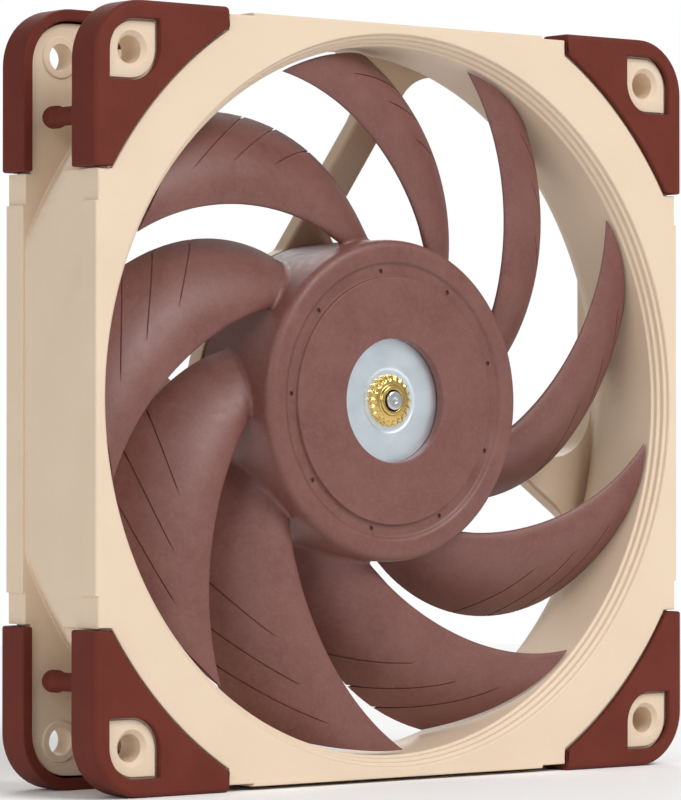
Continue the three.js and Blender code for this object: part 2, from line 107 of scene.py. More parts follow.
# ---- details that only the looks need ----------------------------------------------
FLOOR_RADIUS = 450.0
PEG_RADIUS = 1.45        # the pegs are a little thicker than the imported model's
PEG_BULB = 1.75
COLLAR_RADIUS = 3.3      # tubes between the flanges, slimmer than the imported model's
FRONT_COLLAR = 2.3       # their heights
REAR_COLLAR = 0.3
COLLAR_SINK = 0.4
COLLAR_EDGE = 0.2
LEAF_GAP = 0.35          # round the low seats that show through the pads' windows
LEAF_RISE = 0.45
LEAF_SINK = 0.4
STRUT_REACH = 58.75      # of a strut's end, inside the duct's flat sides
STRUT_SINK = 1.3         # of a strut's end into the ring
STRUT_FILLET = 8.0       # saddle where a strut meets the ring
STRUT_FOOT = 2.5         # fillet where it meets the motor base
STRUT_EDGE = 0.6
CABLE_WIDTH = 3.2
CABLE_DEPTH = 2.2
LABEL_SEAT = 19.6
LABEL_DEPTH = 0.8
PAD_EDGE = 0.9           # rounding of a pad's outer front edge
SOFT_EDGE = 0.35         # rounding of its other edges
AMBIENT = 0.43           # world light, beside 1 for the backdrop
ROOT_FILLET = 0.7        # where a blade meets the hub
GROOVE_DEPTH = 0.22
GROOVE_HALF = 0.13
NOTCH = 0.6              # the grooves end in notches this deep in the trailing edge
# Each groove on a blade's front side: share of the span where it starts and where it
# ends at the trailing edge, and the share of the chord where it starts.
GROOVES = ((0.57, 0.50, 0.42), (0.74, 0.67, 0.37), (0.89, 0.80, 0.32))
HUB_CHANNEL = (19.7, 21.8)  # shallow channel round the hub's face
CHANNEL_DEPTH = 0.6
HUB_SHOULDER = 2.3
GATE_RADIUS = 20.6       # ring of moulding gate marks
GATE_ANGLE = 17.3
BOSS_LOBES = 20           # peening marks round the brass boss

CORNERS = {"top_left": (-1, 1), "top_right": (1, 1), "bottom_left": (-1, -1), "bottom_right": (1, -1)}


# ---- mesh helpers ------------------------------------------------------------------
def mesh_object(name, points, faces, smooth_angle=35.0):
    """A new object from points in millimetres, smooth except across sharp edges."""
    data = bpy.data.meshes.new(name)
    data.from_pydata([[c * MM for c in p] for p in points], [], faces)
    obj = bpy.data.objects.new(name, data)
    bpy.context.collection.objects.link(obj)
    tidy(obj, smooth_angle)
    return obj


def tidy(obj, smooth_angle=35.0):
    """Merges doubled points, turns faces outward and marks sharp edges."""
    bm = bmesh.new()
    bm.from_mesh(obj.data)
    bmesh.ops.remove_doubles(bm, verts=bm.verts, dist=1e-6)
    bmesh.ops.dissolve_degenerate(bm, edges=bm.edges, dist=1e-7)
    bmesh.ops.recalc_face_normals(bm, faces=bm.faces)
    shade(bm, smooth_angle)
    bm.to_mesh(obj.data)
    bm.free()


def shade(bm, smooth_angle):
    limit = math.radians(smooth_angle)
    for face in bm.faces:
        face.smooth = True
    for edge in bm.edges:
        edge.smooth = len(edge.link_faces) == 2 and edge.calc_face_angle(0) < limit


def lathe(name, profile, segments=192, smooth_angle=35.0, at=(0.0, 0.0)):
    """A closed or axis-to-axis profile of (radius, y) turned about an axis along Y."""
    points = []
    faces = []
    rings = []
    for radius, y in profile:
        if radius < 1e-6:
            rings.append([len(points)] * segments)
            points.append((at[0], y, at[1]))
            continue
        ring = []
        for i in range(segments):
            a = 2 * math.pi * i / segments
            ring.append(len(points))
            points.append((at[0] + radius * math.cos(a), y, at[1] + radius * math.sin(a)))
        rings.append(ring)
    closed = profile[0][0] > 1e-6
    count = len(rings)
    for k in range(count if closed else count - 1):
        one, two = rings[k], rings[(k + 1) % count]
        for i in range(segments):
            j = (i + 1) % segments
            quad = [one[i], one[j], two[j], two[i]]
            face = [v for n, v in enumerate(quad) if v != quad[n - 1]]
            if len(face) > 2:
                faces.append(face)
    return mesh_object(name, points, faces, smooth_angle)


def rounded(corners, steps=4):
    """A polyline from (r, y, fillet) corners, each fillet an arc of some steps. Closed."""
    out = []
    count = len(corners)
    for i, (r, y, fillet) in enumerate(corners):
        here = Vector((r, y))
        before = Vector(corners[i - 1][:2]) - here
        after = Vector(corners[(i + 1) % count][:2]) - here
        if fillet == 0:
            out.append((r, y))
            continue
        size = min(fillet, before.length * 0.49, after.length * 0.49)
        start = here + before.normalized() * size
        end = here + after.normalized() * size
        for k in range(steps + 1):
            t = k / steps
            p = start * (1 - t) ** 2 + here * 2 * t * (1 - t) + end * t * t
            out.append((p.x, p.y))
    return out


def boolean(obj, cutter, operation="DIFFERENCE"):
    """Cuts or joins with an object that is then deleted."""
    mod = obj.modifiers.new("cut", "BOOLEAN")
    mod.operation = operation
    mod.solver = "EXACT"
    mod.object = cutter
    apply_modifiers(obj)
    bpy.data.objects.remove(cutter)
    return obj


def apply_modifiers(obj):
    graph = bpy.context.evaluated_depsgraph_get()
    data = bpy.data.meshes.new_from_object(obj.evaluated_get(graph))
    obj.modifiers.clear()
    old = obj.data
    obj.data = data
    bpy.data.meshes.remove(old)


def join(name, objects):
    """One object from several, each kept as its own island."""
    bm = bmesh.new()
    for obj in objects:
        bm.from_mesh(obj.data)
    data = bpy.data.meshes.new(name)
    bm.to_mesh(data)
    bm.free()
    for obj in objects:
        bpy.data.objects.remove(obj)
    joined = bpy.data.objects.new(name, data)
    bpy.context.collection.objects.link(joined)
    return joined


def loft(name, loops, smooth_angle=35.0):
    """A closed solid through loops that all have the same number of points."""
    size = len(loops[0])
    points = [p for loop in loops for p in loop]
    faces = [list(range(size)), list(range(len(points) - size, len(points)))]
    for s in range(len(loops) - 1):
        for i in range(size):
            j = (i + 1) % size
            low = s * size
            faces.append([low + i, low + j, low + size + j, low + size + i])
    return mesh_object(name, points, faces, smooth_angle)


def soften(obj, width, limit=40.0, segments=2):
    """Rounds every edge that is sharper than the limit."""
    bm = bmesh.new()
    bm.from_mesh(obj.data)
    bmesh.ops.remove_doubles(bm, verts=bm.verts, dist=1e-6)
    sharp = [e for e in bm.edges if len(e.link_faces) == 2 and e.calc_face_angle(0) > math.radians(limit)]
    bmesh.ops.bevel(bm, geom=sharp, offset=width * MM, segments=segments, profile=0.5,
                    affect="EDGES", clamp_overlap=False)
    bm.to_mesh(obj.data)
    bm.free()


def even_normals(obj, smooth_angle=35.0):
    """Sharp edges marked, and large flat faces shaded flat beside their rounded edges."""
    tidy(obj, smooth_angle)
    mod = obj.modifiers.new("normals", "WEIGHTED_NORMAL")
    mod.keep_sharp = True
    apply_modifiers(obj)


def copy_transformed(obj, name, matrix):
    """A copy with the matrix in its mesh; a mirror keeps its faces outward."""
    twin = obj.copy()
    twin.data = obj.data.copy()
    twin.name = name
    twin.data.name = name
    twin.data.transform(matrix)
    if matrix.determinant() < 0:
        twin.data.flip_normals()
    bpy.context.collection.objects.link(twin)
    return twin


def prism(name, outline, y0, y1):
    """An outline of (x, z) points in millimetres, as thick as from y0 to y1."""
    count = len(outline)
    points = [(x, y0, z) for x, z in outline] + [(x, y1, z) for x, z in outline]
    faces = [list(range(count)), list(range(2 * count - 1, count - 1, -1))]
    for i in range(count):
        j = (i + 1) % count
        faces.append([i, i + count, j + count, j])
    return mesh_object(name, points, faces)


def arc(cx, cz, radius, start, end, steps):
    out = []
    for k in range(steps + 1):
        a = math.radians(start + (end - start) * k / steps)
        out.append((cx + radius * math.cos(a), cz + radius * math.sin(a)))
    return out


def rod(name, x, z, radius, y0, y1, segments=48):
    return prism(name, arc(x, z, radius, 0, 360 * (1 - 1 / segments), segments - 1), y0, y1)


def bezier(values, t):
    p0, p1, p2, p3 = values
    s = 1 - t
    return s * s * s * p0 + 3 * s * s * t * p1 + 3 * s * t * t * p2 + t * t * t * p3


def smoothstep(low, high, value):
    """Smooth step from 0 at low to 1 at high, which may be the smaller of the two."""
    t = min(max((value - low) / (high - low), 0.0), 1.0)
    return t * t * (3 - 2 * t)


# ---- frame shell -------------------------------------------------------------------
def flange_radius(angle):
    """Distance from the axis to the flange's stepped square outline at this angle."""
    a = abs((math.degrees(angle) + 45) % 90 - 45)
    c, s = math.cos(math.radians(a)), math.sin(math.radians(a))
    along = s / c
    if SIDE_HALF * along <= STEP_START + 1e-6:
        return SIDE_HALF / c
    if STEP_HALF * along <= SEAT_START + 1e-6:
        return STEP_HALF / c
    round_at = SEAT_HALF - (CORNER_RADIUS - (PAD_HALF - SEAT_HALF))
    if SEAT_HALF * along <= round_at:
        return SEAT_HALF / c
    radius = SEAT_HALF - round_at
    middle = round_at * (c + s)
    return middle + math.sqrt(middle * middle - 2 * round_at * round_at + radius * radius)


def rim_radius(angle):
    """Edge of the raised front rim: round, with a square tab beside each pad's tip."""
    a = abs((math.degrees(angle) + 45) % 90 - 45)
    tab = SEAT_START / max(math.sin(math.radians(a)), 0.01)
    return min(flange_radius(angle), max(RIM, tab))


def wall_radius(y, angle):
    """Outside of the duct between the flanges: a cone, trimmed flat at the sides."""
    a = math.radians(abs((math.degrees(angle) + 45) % 90 - 45))
    cone = WALL_CONE - WALL_SLOPE * y
    inner_cone = 62.2 - 0.31 * (y + 8.6)
    flat = WALL_FLAT / math.cos(a)
    raised = smoothstep(-0.3, 0.3, inner_cone - flat)
    return min(cone, flat + 0.3 * raised, flange_radius(angle) - 0.05)


def flare_radius(y, angle):
    t = min(max((y - FLARE_START) / (FACE - FLARE_START), 0.0), 1.0)
    a = math.radians(abs((math.degrees(angle) + 45) % 90 - 45))
    return min(THROAT + (FLARE_RADIUS - THROAT) * t ** 1.5, OUTLET_FLAT / math.cos(a))


def shell_section(angle):
    """The frame's cut through its wall at this angle, as (radius, y, fillet) corners."""
    outer = flange_radius(angle)
    rim = rim_radius(angle)
    seat = rim < outer - 0.05
    rim_in = rim if seat else outer
    edge = 0.25 if seat else 0.9
    seat_edge = 0.2
    section = [
        (THROAT, -2.0, 0.0), (THROAT, -9.3, 0.25), (56.45, -9.45, 0.1), (56.5, -10.2, 0.2),
        (57.05, -10.35, 0.1), (57.1, -11.1, 0.2), (57.6, -11.25, 0.1), (57.75, -FACE, 0.3),
        (rim_in, -FACE, edge), (rim_in, -SEAT_FACE, 0.0), (outer, -SEAT_FACE, seat_edge),
        (outer, -10.0, 0.0), (outer, FLANGE_FRONT, 0.25),
    ]
    wall_front = min(wall_radius(FLANGE_FRONT, angle), outer - 0.02)
    section.append((wall_front, FLANGE_FRONT, 0.5))
    for k in range(1, 8):
        y = FLANGE_FRONT + (FLANGE_REAR - FLANGE_FRONT) * k / 8
        section.append((wall_radius(y, angle), y, 0.0))
    section += [
        (wall_radius(FLANGE_REAR, angle), FLANGE_REAR, 0.5), (outer, FLANGE_REAR, 0.25),
        (outer, 10.0, 0.0), (outer, SEAT_FACE, seat_edge), (rim_in, SEAT_FACE, 0.0), (rim_in, FACE, edge),
        (flare_radius(FACE, angle), FACE, 0.25),
    ]
    for k in range(11, -1, -1):
        y = FLARE_START + (FACE - 0.4 - FLARE_START) * k / 11
        section.append((flare_radius(y, angle), y, 0.0))
    section.append((THROAT, 0.5, 0.0))
    return section


def section_angles():
    """Angles of an eighth turn, closer together at the outline's corners."""
    marks = [
        0.0, math.degrees(math.atan(STEP_START / SIDE_HALF)),
        math.degrees(math.atan(STEP_START / STEP_HALF)),
        math.degrees(math.atan(SEAT_START / STEP_HALF)), math.degrees(math.atan(SEAT_START / SEAT_HALF)),
        math.degrees(math.asin(SEAT_START / RIM)), 45.0,
    ]
    out = []
    for low, high in zip(marks, marks[1:]):
        steps = max(1, round(high - low))
        out += [low + (high - low) * k / steps for k in range(steps)]
    eighth = out + [45.0]
    quarter = eighth + [90 - a for a in reversed(eighth[:-1])]
    return [q * 90 + a for q in range(4) for a in quarter[:-1]]


def frame_shell():
    angles = [math.radians(a) for a in section_angles()]
    loops = [rounded(shell_section(a), 3) for a in angles]
    size = len(loops[0])
    points = []
    for angle, loop in zip(angles, loops):
        points += [(r * math.cos(angle), y, r * math.sin(angle)) for r, y in loop]
    faces = []
    for s in range(len(loops)):
        t = (s + 1) % len(loops)
        for i in range(size):
            j = (i + 1) % size
            faces.append([s * size + i, s * size + j, t * size + j, t * size + i])
    return mesh_object("frame_shell", points, faces, 28.0)


# ---- struts and motor base ---------------------------------------------------------
def turn(points, degrees):
    """Points of an (x, z) outline turned about the axis."""
    c, s = math.cos(math.radians(degrees)), math.sin(math.radians(degrees))
    return [(x * c - z * s, x * s + z * c) for x, z in points]


def saddle(edge, outward, y, inset):
    """Arc from a strut's edge (at z = edge) to the ring, which it meets tangentially."""
    radius = STRUT_FILLET + inset
    ring = THROAT
    for _ in range(4):
        cz = edge + outward * radius
        cx = math.sqrt((ring - radius) ** 2 - cz * cz)
        ring = flare_radius(y, math.atan2(cz, cx) + math.radians(STRUT_ANGLE))
    start = -90 * outward
    end = math.degrees(math.atan2(cz, cx))
    return arc(cx, cz, radius, start, end, 10)


def foot(edge, outward, inset):
    """Arc from the motor base's round side to a strut's edge."""
    radius = STRUT_FOOT + inset
    cz = edge + outward * radius
    cx = math.sqrt((BASE_RADIUS + STRUT_FOOT) ** 2 - cz * cz)
    start = math.degrees(math.atan2(-cz, -cx))
    end = -90.0 * outward
    if outward > 0 and start > end:
        start -= 360
    if outward < 0 and start < end:
        start += 360
    return arc(cx, cz, radius, start, end, 6)


def strut_outline(y, inset):
    """One strut seen along the axis, lying along +X, with a fillet at each of its four sides."""
    half = STRUT_WIDTH / 2 - inset
    low, high = STRUT_OFFSET - half, STRUT_OFFSET + half
    lower = foot(low, -1, inset) + saddle(low, -1, y, inset)
    upper = foot(high, 1, inset) + saddle(high, 1, y, inset)
    reach = max(math.hypot(*lower[-1]), math.hypot(*upper[-1])) + STRUT_SINK
    first = math.degrees(math.atan2(lower[-1][1], lower[-1][0]))
    last = math.degrees(math.atan2(upper[-1][1], upper[-1][0]))
    outer = arc(0.0, 0.0, reach, first, last, 10)
    inside = 20.0
    start = [(inside * math.cos(math.asin(low / inside)), low)]
    end = [(inside * math.cos(math.asin(min(high / inside, 0.99))), min(high, 0.99 * inside))]
    return start + lower + outer + upper[::-1] + end


def edge_layers(y0, y1, radius, steps=4):
    """Depths and insets of a slab whose two rims are rounded."""
    front = [(y0 + radius * (1 - math.cos(math.radians(90 * k / steps))),
              radius * (1 - math.sin(math.radians(90 * k / steps)))) for k in range(steps + 1)]
    back = [(y0 + y1 - y, i) for y, i in front[::-1]]
    return front + back


def within(reach):
    """Keeps a strut's end inside the frame's side wall."""
    return min(max(reach, -STRUT_REACH), STRUT_REACH)


def strut(turned_by):
    loops = []
    for y, inset in edge_layers(BASE_FRONT, FACE, STRUT_EDGE):
        outline = turn(strut_outline(y, inset), STRUT_ANGLE + turned_by)
        loops.append([(within(x), y, within(z)) for x, z in outline])
    return loft("strut", loops)


def motor_base():
    seat = FACE - LABEL_DEPTH
    profile = rounded([
        (0.0, BASE_INSIDE, 0), (SOCKET_INNER, BASE_INSIDE, 0), (SOCKET_INNER, SOCKET_FRONT, 0),
        (SOCKET_OUTER, SOCKET_FRONT, 0), (SOCKET_OUTER, BASE_INSIDE, 0), (BASE_RIM, BASE_INSIDE, 0),
        (BASE_RIM, BASE_FRONT, 0), (BASE_RADIUS, BASE_FRONT, 0.3), (BASE_RADIUS, FACE, 0.8),
        (22.9, FACE, 0.1), (22.8, FACE - 0.25, 0.1), (22.4, FACE - 0.25, 0.1), (22.3, FACE, 0.1),
        (LABEL_SEAT, FACE, 0.15), (LABEL_SEAT, seat, 0), (0.0, seat, 0),
    ], 3)
    return lathe("motor_base", profile, 144)


def collar(y, height, at):
    """A short tube round a screw hole, standing from y towards the other flange."""
    side = 1 if height > 0 else -1
    start, end = y - COLLAR_SINK * side, y + height
    profile = [(0, start), (COLLAR_RADIUS, start), (COLLAR_RADIUS, end - COLLAR_EDGE * side),
               (COLLAR_RADIUS - COLLAR_EDGE, end), (0, end)]
    return lathe("collar", profile, 40, at=at)


def collars():
    out = []
    for sx, sz in CORNERS.values():
        at = (sx * HOLE_AT, sz * HOLE_AT)
        out += [collar(FLANGE_FRONT, FRONT_COLLAR, at), collar(FLANGE_REAR, -REAR_COLLAR, at)]
    return out


def leaves():
    """Low leaf-shaped seats that show through the pads' windows, with a gap all round."""
    out = []
    for sx, sz in CORNERS.values():
        outline = [(sx * x, sz * z) for x, z in leaf_outline(LEAF_GAP)]
        if sx * sz < 0:
            outline = outline[::-1]
        out.append(prism("leaf", outline, -SEAT_FACE - LEAF_RISE, -SEAT_FACE + LEAF_SINK))
        out.append(prism("leaf", outline, SEAT_FACE - LEAF_SINK, SEAT_FACE + LEAF_RISE))
    return out


def hole_cutters():
    """Screw holes with a small chamfer, and the pads' peg holes."""
    out = []
    lip = 0.25
    for sx, sz in CORNERS.values():
        screw = [(0, -FACE - 1), (HOLE_RADIUS + lip + FACE + 1 - SEAT_FACE, -FACE - 1),
                 (HOLE_RADIUS, -SEAT_FACE + lip), (HOLE_RADIUS, SEAT_FACE - lip),
                 (HOLE_RADIUS + lip + FACE + 1 - SEAT_FACE, FACE + 1), (0, FACE + 1)]
        out.append(lathe("hole", screw, 48, at=(sx * HOLE_AT, sz * HOLE_AT)))
        shank = PEG_RADIUS + GAP
        front = [(0, -FACE - 1), (shank, -FACE - 1), (shank, 0), (0, 0)]
        out.append(lathe("hole", front, 24, at=(sx * PEG_INSET, sz * PEG_ALONG)))
        bulb = PEG_BULB + GAP
        rear = [(0, -PEG_END - GAP), (bulb, -PEG_END - GAP), (bulb, 0),
                (shank, 0), (shank, FACE + 1), (0, FACE + 1)]
        out.append(lathe("hole", rear, 24, at=(sx * PEG_ALONG, sz * PEG_INSET)))
    return out


def cable_cutter():
    """Groove in the back of the lower strut, out to the bottom edge of the rear flange."""
    half = CABLE_WIDTH / 2
    reach = FLARE_RADIUS + 12
    low, high = STRUT_OFFSET - half, STRUT_OFFSET + half
    outline = turn([(16.0, low), (reach, low), (reach, high), (16.0, high)], STRUT_ANGLE + 180)
    return prism("groove", outline, FACE - CABLE_DEPTH, FACE + 1)


def moulded_frame():
    core = motor_base()
    for k in range(4):
        boolean(core, strut(90 * k), "UNION")
    shell = frame_shell()
    boolean(shell, join("additions", [core] + collars() + leaves()), "UNION")
    boolean(shell, join("cutters", hole_cutters() + [cable_cutter()]))
    shell.name = "moulded_frame"
    even_normals(shell, 30.0)
    return shell


# ---- corner pads -------------------------------------------------------------------
def pad_outline(half, radius, inner):
    centre = half - radius
    return [(half, inner)] + arc(centre, centre, radius, 0, 90, 16) + [(inner, half), (inner, inner)]


def leaf_outline(inset=0.0):
    half = LEAF_SIZE / 2 - inset
    radius = LEAF_RADIUS - inset
    low, high = HOLE_AT - half, HOLE_AT + half
    far, near = high - radius, low + radius
    return ([(high, low)] + arc(far, far, radius, 0, 90, 12)
            + [(low, high)] + arc(near, near, radius, 180, 270, 12))


def pad_peg():
    neck = PEG_END - 3
    profile = rounded([
        (0.0, -SEAT_FACE - 0.6, 0), (PEG_RADIUS, -SEAT_FACE - 0.6, 0), (PEG_RADIUS, neck - 0.5, 0.3),
        (PEG_BULB, neck, 0.3), (PEG_BULB, PEG_END - 1.2, 0.4), (1.0, PEG_END, 0.4), (0.0, PEG_END, 0),
    ], 3)
    return lathe("peg", profile, 32, at=(PEG_INSET, PEG_ALONG))


def corner_pad():
    """A front pad for the corner at +X, +Z: a plate with a leaf window, two skirts and a peg."""
    turns = [math.radians(a) for a in (0, 22.5, 45, 67.5, 90)]
    layers = [(PAD_FACE - PAD_EDGE * (1 - math.cos(a)), PAD_EDGE * (1 - math.sin(a))) for a in turns]
    layers.append((PAD_SKIRT, 0.0))
    loops = []
    for depth, inset in layers:
        outline = pad_outline(PAD_HALF - inset, CORNER_RADIUS - inset, PAD_END)
        loops.append([(x, -depth, z) for x, z in outline])
    pad = loft("pad", loops)
    wall = PAD_HALF - SEAT_HALF - GAP
    room = pad_outline(PAD_HALF - wall, CORNER_RADIUS - wall, PAD_END - 1)
    boolean(pad, prism("room", room, -SEAT_FACE - GAP, 0))
    boolean(pad, rod("arc", 0, 0, PAD_ARC, -PAD_FACE - 1, -PAD_SKIRT + 1, 240))
    boolean(pad, prism("leaf", leaf_outline(), -PAD_FACE - 1, -SEAT_FACE + 0.5))
    soften(pad, SOFT_EDGE)
    return join("pad", [pad, pad_peg()])


def corner_pads():
    one = corner_pad()
    turn_over = Matrix(((0, 0, 1), (0, -1, 0), (1, 0, 0))).to_4x4()
    out = []
    for corner, (sx, sz) in CORNERS.items():
        place = Matrix.Diagonal((sx, 1, sz, 1))
        for side, move in (("front", place), ("rear", place @ turn_over)):
            pad = copy_transformed(one, f"rubber_{side}_pad_{corner}", move)
            even_normals(pad)
            out.append((pad, f"{side}_pad_{corner}"))
    bpy.data.objects.remove(one)
    return out


# ---- impeller ----------------------------------------------------------------------
def half_thickness(u, thick):
    bulge = 1.4845 * math.sqrt(u) - 0.63 * u - 1.758 * u * u + 1.4215 * u ** 3 - 0.5075 * u ** 4
    return thick * bulge + 0.25 * u


def groove_share(groove, u):
    """Where a groove lies along the span, at this share of the chord."""
    start, end, first = groove
    t = min(max((u - first) / (1 - first), 0.0), 1.0)
    return start + (end - start) * t


def warped(share, u):
    """Moves a row of points along the span so that some rows follow the grooves."""
    home = [0.0] + [groove_share(g, 0.7) for g in GROOVES] + [1.0]
    away = [0.0] + [groove_share(g, u) for g in GROOVES] + [1.0]
    for k in range(len(home) - 1):
        if share <= home[k + 1]:
            t = (share - home[k]) / (home[k + 1] - home[k])
            return away[k] + (away[k + 1] - away[k]) * t
    return share


def blade_rows():
    """Rows from hub to tip: (share of the span, groove or None, how much of its depth)."""
    span = TIP_RADIUS - HUB_RADIUS
    rows = [(-0.8 / span, None, 0)]
    for k in range(7):
        rows.append((ROOT_FILLET * (1 - math.cos(math.radians(15 * k))) / span, None, 0))
    middles = [groove_share(g, 0.7) for g in GROOVES]
    for number, middle in enumerate(middles):
        for side, share in ((-1, 0), (-0.4, 1), (0.4, 1), (1, 0)):
            rows.append((middle + side * GROOVE_HALF / span, number, share))
    for k in range(3, 27):
        share = k / 26
        if all(abs(share - m) > 0.018 for m in middles):
            rows.append((share, None, 0))
    return sorted(rows)


def blade_loop(share, groove, depth, steps=40):
    """Closed section of the blade along one row, wrapped round its cylinder."""
    flat = []
    samples = [0.5 * (1 - math.cos(math.pi * i / steps)) for i in range(steps + 1)]
    for side, us in ((1, samples), (-1, samples[:0:-1])):
        for u in us:
            t = max(warped(share, u), 0.0) if share > 0 else 0.0
            thick = BLADE_THICK[0] + (BLADE_THICK[1] - BLADE_THICK[0]) * t
            lift = side * half_thickness(u, thick)
            cut = 0.0
            if groove is not None and depth:
                first = GROOVES[groove][2]
                if side > 0:
                    lift -= GROOVE_DEPTH * smoothstep(first, first + 0.08, u)
                cut = NOTCH * smoothstep(0.9, 1.0, u)
            flat.append((t if share > 0 else share, u, lift, cut))
    span = TIP_RADIUS - HUB_RADIUS
    loop = []
    count = len(flat)
    frames = [section_frame(max(t, 0.0)) for t, _, _, _ in flat]
    chorded = []
    for (t, u, lift, cut), (lead, lead_y, chord, _, _) in zip(flat, frames):
        camber = CAMBER * chord * 4 * u * (1 - u)
        chorded.append(Vector((u * chord - cut, camber + lift)))
    for i in range(count):
        t = flat[i][0]
        distance = t * span
        grow = ROOT_FILLET
        if distance > 0:
            away = max(ROOT_FILLET - distance, 0.0)
            grow = ROOT_FILLET - math.sqrt(ROOT_FILLET ** 2 - away ** 2)
        tangent = chorded[(i + 1) % count] - chorded[i - 1]
        normal = Vector((-tangent.y, tangent.x)).normalized()
        c, l = chorded[i] + normal * grow
        lead, lead_y, chord, along, deep = frames[i]
        radius = HUB_RADIUS + span * t
        round_by = lead + (along * c - deep * l) / radius
        y = lead_y + deep * c + along * l
        loop.append((radius * math.cos(round_by), y, radius * math.sin(round_by)))
    return loop


def section_frame(share):
    """Leading point and chord of the blade section at this share of the span."""
    radius = HUB_RADIUS + (TIP_RADIUS - HUB_RADIUS) * share
    lead = math.radians(bezier(LEADING_ANGLES, share))
    trail = math.radians(bezier(TRAILING_ANGLES, share))
    lead_y = bezier(LEADING_DEPTHS, share)
    along = (trail - lead) * radius
    deep = bezier(TRAILING_DEPTHS, share) - lead_y
    chord = math.hypot(along, deep)
    return lead, lead_y, chord, along / chord, deep / chord


def blade():
    return loft("blade", [blade_loop(*row) for row in blade_rows()], 32.0)


def hub_shell():
    inner, outer = HUB_CHANNEL
    floor = HUB_FACE + CHANNEL_DEPTH
    inside = HUB_RADIUS - 1.6
    corners = [
        (HUB_WINDOW, YOKE_FACE - GAP, 0), (HUB_WINDOW, HUB_FACE, 0.3), (inner - 0.1, HUB_FACE, 0.12),
        (inner + 0.1, floor, 0.15), (outer - 0.3, floor, 0.3), (outer + 0.3, HUB_FACE, 0.5),
        (HUB_RADIUS, HUB_FACE, HUB_SHOULDER), (HUB_RADIUS, HUB_BACK, 0.2), (inside, HUB_BACK, 0),
        (inside, YOKE_FACE - GAP, 0),
    ]
    hub = lathe("hub", rounded(corners, 6), 192, 30.0)
    dots = []
    for k in range(BLADES):
        angle = math.radians(GATE_ANGLE + 360 / BLADES * k)
        at = (GATE_RADIUS * math.cos(angle), GATE_RADIUS * math.sin(angle))
        profile = [(0, HUB_FACE - 1), (0.4, HUB_FACE - 1), (0.4, floor + 0.35), (0, floor + 0.45)]
        dots.append(lathe("dot", profile, 20, at=at))
    return boolean(hub, join("dots", dots))


def impeller():
    one = blade()
    blades = []
    for k in range(BLADES):
        about_axis = Matrix.Rotation(math.radians(-360 / BLADES * k), 4, "Y")
        blades.append(copy_transformed(one, "blade_copy", about_axis))
    bpy.data.objects.remove(one)
    whole = hub_shell()
    boolean(whole, join("blades", blades), "UNION")
    whole.name = "impeller_moulding"
    even_normals(whole, 32.0)
    return whole


# ---- rotor's metal parts and the label ---------------------------------------------
def steel_cup():
    inside = YOKE_RADIUS - YOKE_WALL
    profile = rounded([
        (YOKE_HOLE, YOKE_FACE, 0.15), (4.9, YOKE_FACE, 0.2), (5.2, YOKE_FACE - 0.12, 0.2),
        (YOKE_RADIUS, YOKE_FACE - 0.12, 1.2), (YOKE_RADIUS, YOKE_BACK, 0.2), (inside, YOKE_BACK, 0.2),
        (inside, YOKE_FACE + YOKE_WALL, 0.6), (YOKE_HOLE, YOKE_FACE + YOKE_WALL, 0),
    ], 5)
    return lathe("steel_rotor_cup", profile)


def brass_boss():
    """Stepped boss, peened round its rim into a ring of small lobes."""
    bore = SHAFT_RADIUS + 0.25
    profile = rounded([
        (bore, -9.7, 0.1), (2.3, -9.7, 0.2), (2.5, -9.25, 0.15), (3.1, -9.2, 0.2), (3.45, -8.95, 0.2),
        (4.0, -8.9, 0.2), (4.1, YOKE_FACE + 0.05, 0), (3.5, YOKE_FACE + 0.05, 0), (3.5, YOKE_FACE + 1.3, 0),
        (4.3, YOKE_FACE + 1.3, 0), (4.3, YOKE_FACE + 2.7, 0.2), (bore, YOKE_FACE + 2.7, 0),
    ], 4)
    boss = lathe("turned_boss", profile, 240, 60.0)
    for vertex in boss.data.vertices:
        x, y, z = vertex.co / MM
        radius = math.hypot(x, z)
        rim = smoothstep(2.9, 3.7, radius) * smoothstep(YOKE_FACE + 0.2, YOKE_FACE - 0.2, y)
        lobe = math.cos(BOSS_LOBES * math.atan2(z, x))
        swell = 1 + 0.035 * rim * lobe
        vertex.co = Vector((x * swell, y - 0.09 * rim * lobe, z * swell)) * MM
    tidy(boss, 60.0)
    return boss


def motor_shaft():
    profile = rounded([
        (0.0, -9.98, 0), (0.35, -9.98, 0.1), (0.5, -10.1, 0.05), (SHAFT_RADIUS, -10.1, 0.25),
        (SHAFT_RADIUS, 8.0, 0.3), (0.0, 8.0, 0),
    ], 3)
    return lathe("ground_shaft", profile, 64)


def motor_label():
    profile = rounded([
        (0.0, FACE - 0.5, 0), (19.2, FACE - 0.5, 0), (19.2, FACE - 0.12, 0.1), (18.3, FACE - 0.12, 0.05),
        (18.2, FACE - 0.16, 0.05), (0.0, FACE - 0.16, 0),
    ], 2)
    return lathe("blank_label", profile, 144)


